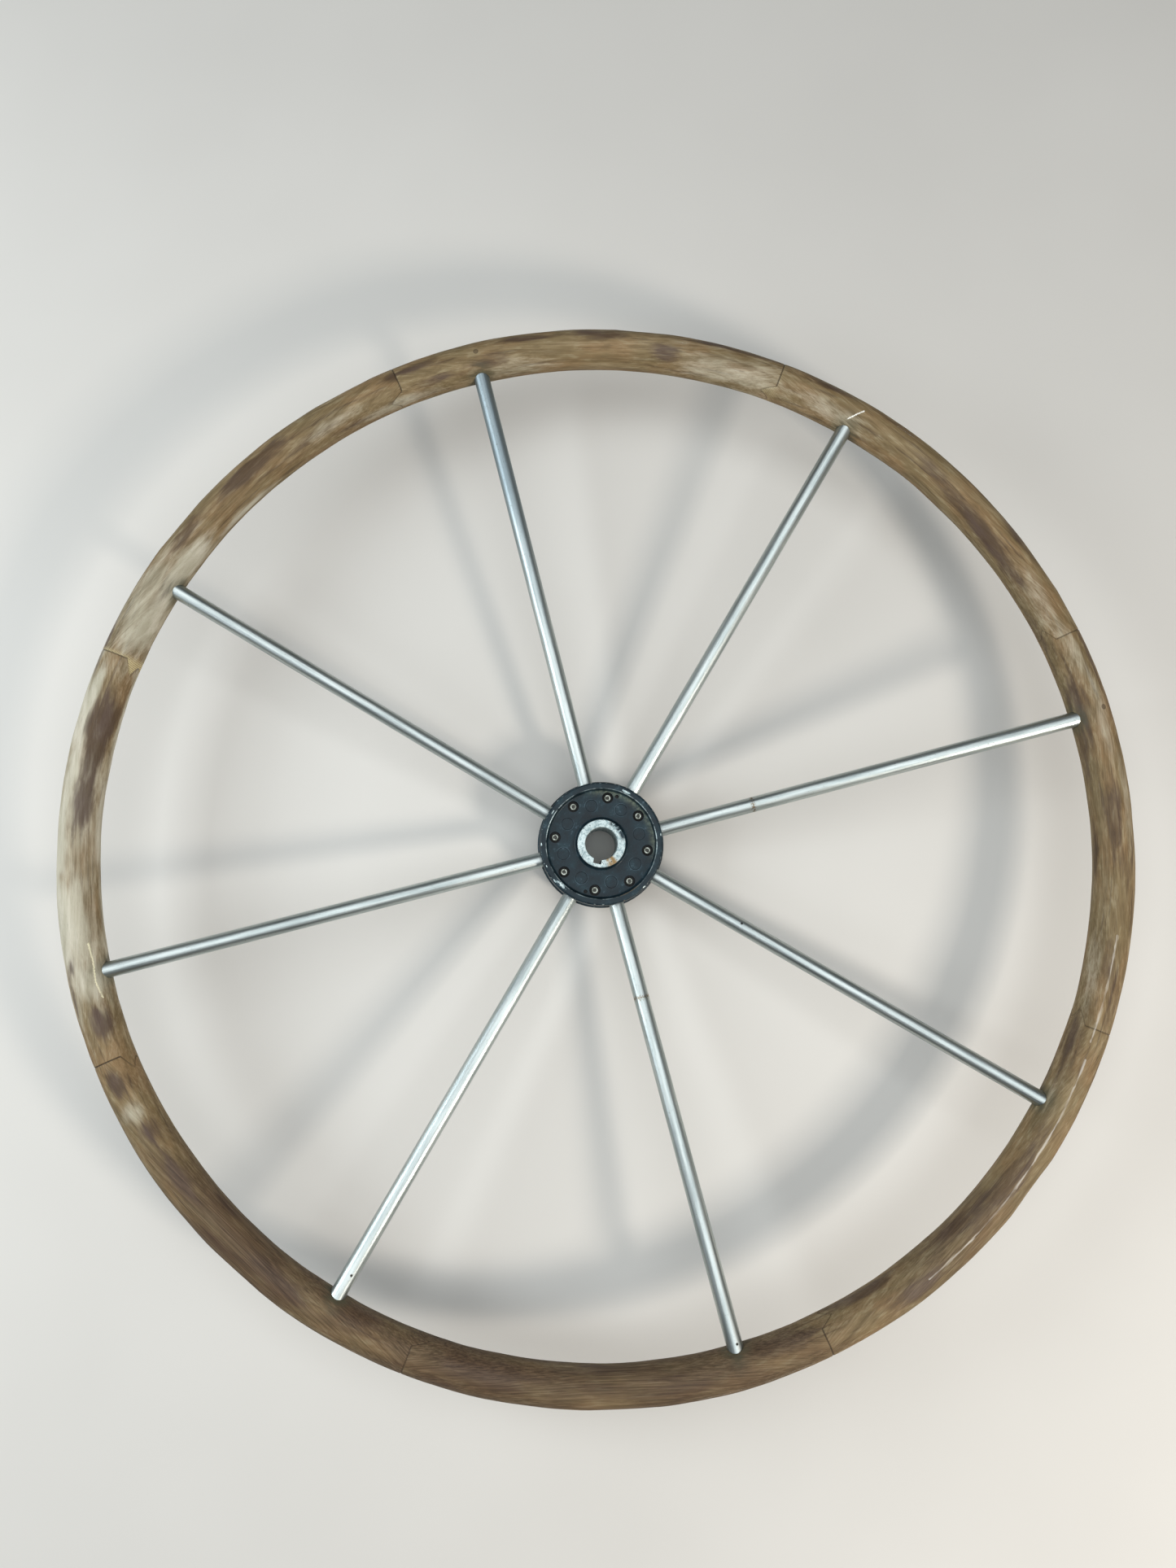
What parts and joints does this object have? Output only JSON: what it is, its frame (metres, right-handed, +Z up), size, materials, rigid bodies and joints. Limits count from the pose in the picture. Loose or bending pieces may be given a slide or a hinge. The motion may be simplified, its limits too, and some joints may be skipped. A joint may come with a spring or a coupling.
{
  "type": "boat steering wheel",
  "caption": "Dished boat helm steering wheel: jointed round wooden rim, straight steel rod spokes and a two-part clamping hub with a keyed bore.",
  "frame": {"origin": "on the bore axis at the flat front face of the hub, on which the wheel lies", "axes": "+Z up along the bore, towards the wheel's back, where the shaft leaves; +Y along spoke 1"},
  "size_m": [0.813, 0.813, 0.087],
  "materials": {
    "rim_wood": "weathered bare teak, matt with worn patches",
    "spoke_steel": "satin stainless rod, lightly scratched",
    "hub_paint": "satin dark paint on cast aluminium, chipped at the edges",
    "screw_steel": "dull stainless"
  },
  "bodies": {
    "root": {"rim_segment_1": "rim_wood", "rim_segment_2": "rim_wood", "rim_segment_3": "rim_wood", "rim_segment_4": "rim_wood", "rim_segment_5": "rim_wood", "rim_segment_6": "rim_wood", "rim_segment_7": "rim_wood", "rim_segment_8": "rim_wood", "spoke_1": "spoke_steel", "spoke_2": "spoke_steel", "spoke_3": "spoke_steel", "spoke_4": "spoke_steel", "spoke_5": "spoke_steel", "spoke_6": "spoke_steel", "spoke_7": "spoke_steel", "spoke_8": "spoke_steel", "hub_body": "hub_paint", "hub_front_plate": "hub_paint", "hub_screws": "screw_steel", "hub_dowels": "screw_steel"}
  },
  "joints": []
}
